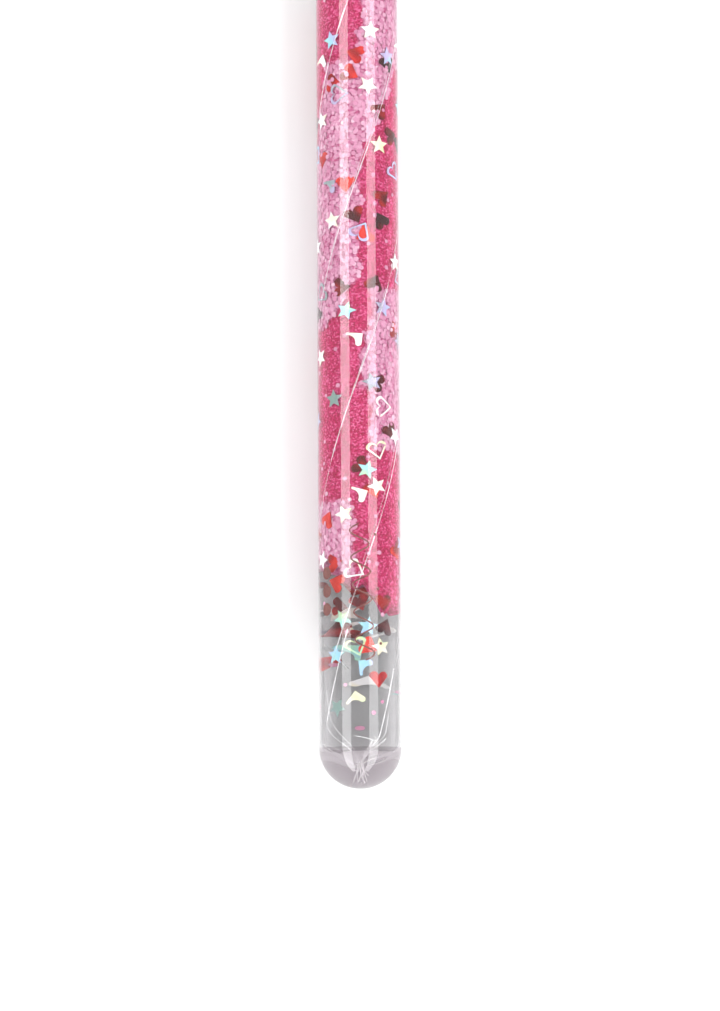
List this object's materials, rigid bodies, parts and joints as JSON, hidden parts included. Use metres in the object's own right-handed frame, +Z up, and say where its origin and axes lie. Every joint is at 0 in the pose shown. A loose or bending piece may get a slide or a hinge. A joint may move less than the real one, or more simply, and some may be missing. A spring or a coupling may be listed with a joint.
{
  "type": "gel pen",
  "caption": "Capped gel pen with a clear, round-ended barrel filled with pink glitter and small foil shapes, a screw-in front section and a sprung pocket clip.",
  "frame": {"origin": "centre of the resting pen's footprint box, on the ground", "axes": "+Y runs along the pen from the barrel's domed tail to the cap's end; +Z is up from the ground; +X is the side on which the clip rests"},
  "size_m": [0.0138, 0.1596, 0.011],
  "materials": {
    "clear_polystyrene": "clear, polished moulding",
    "clear_film": "clear film, creased",
    "glitter_gel": "fine glitter in clear gel",
    "white_foil": "white and holographic foil",
    "red_foil": "lacquered red foil",
    "silver_foil": "silver foil",
    "pale_foil": "pale pink film",
    "clear_polypropylene": "translucent",
    "seal_rubber": "soft",
    "white_plastic": "moulded",
    "grease": "clear grease",
    "pink_ink": "gel",
    "nickel_silver": "turned",
    "carbide": "ground",
    "grip_rubber": "ribbed, satin",
    "pink_plastic": "moulded, gloss",
    "spring_steel": "plated"
  },
  "bodies": {
    "barrel": {"barrel_tube": "clear_polystyrene", "film_liner": "clear_film", "glitter_fill": "glitter_gel", "star_confetti": "white_foil", "heart_confetti": "red_foil", "open_heart_confetti": "silver_foil", "boot_confetti": "white_foil", "dot_confetti": "pale_foil", "refill_well": "clear_polypropylene", "chamber_plug": "clear_polypropylene", "chamber_seal": "seal_rubber"},
    "refill": {"refill_tube": "clear_polypropylene", "refill_end_plug": "white_plastic", "ink_follower": "grease", "gel_ink": "pink_ink", "refill_socket": "white_plastic", "writing_tip": "nickel_silver"},
    "ball": {"writing_ball": "carbide"},
    "section": {"front_section": "white_plastic", "section_seal": "seal_rubber", "grip_sleeve": "grip_rubber", "nose_cone": "white_plastic"},
    "cap": {"cap_shell": "pink_plastic", "cap_inner_seal": "white_plastic", "cap_end_plug": "pink_plastic", "clip_bracket": "pink_plastic", "clip_pin": "spring_steel"},
    "clip": {"clip_arm": "spring_steel"}
  },
  "joints": [
    {"name": "section_travel", "type": "slide", "parent": "barrel", "child": "refill", "axis": [0, 1, 0], "range_m": [0, 0.005]},
    {"name": "section_turn", "type": "hinge", "parent": "refill", "child": "section", "pos_m": [-0.00136, 0.03575, 0.0055], "axis": [0, 1, 0], "range_deg": [0, 1440]},
    {"name": "ball_roll", "type": "hinge", "parent": "refill", "child": "ball", "pos_m": [-0.00136, 0.07222, 0.0055], "axis": [1, 0, 0], "continuous": true},
    {"name": "cap_pull", "type": "slide", "parent": "section", "child": "cap", "axis": [0, 1, 0], "range_m": [0, 0.038]},
    {"name": "clip_lift", "type": "hinge", "parent": "cap", "child": "clip", "pos_m": [0.00492, 0.0728, 0.00322], "axis": [0.3414, 0, 0.9399], "range_deg": [0, 6], "stiffness_Nm_per_rad": 0.4}
  ],
  "couplings": [
    {"joint": "section_travel", "follows": "section_turn", "m_per_rad": 0.00019894}
  ]
}
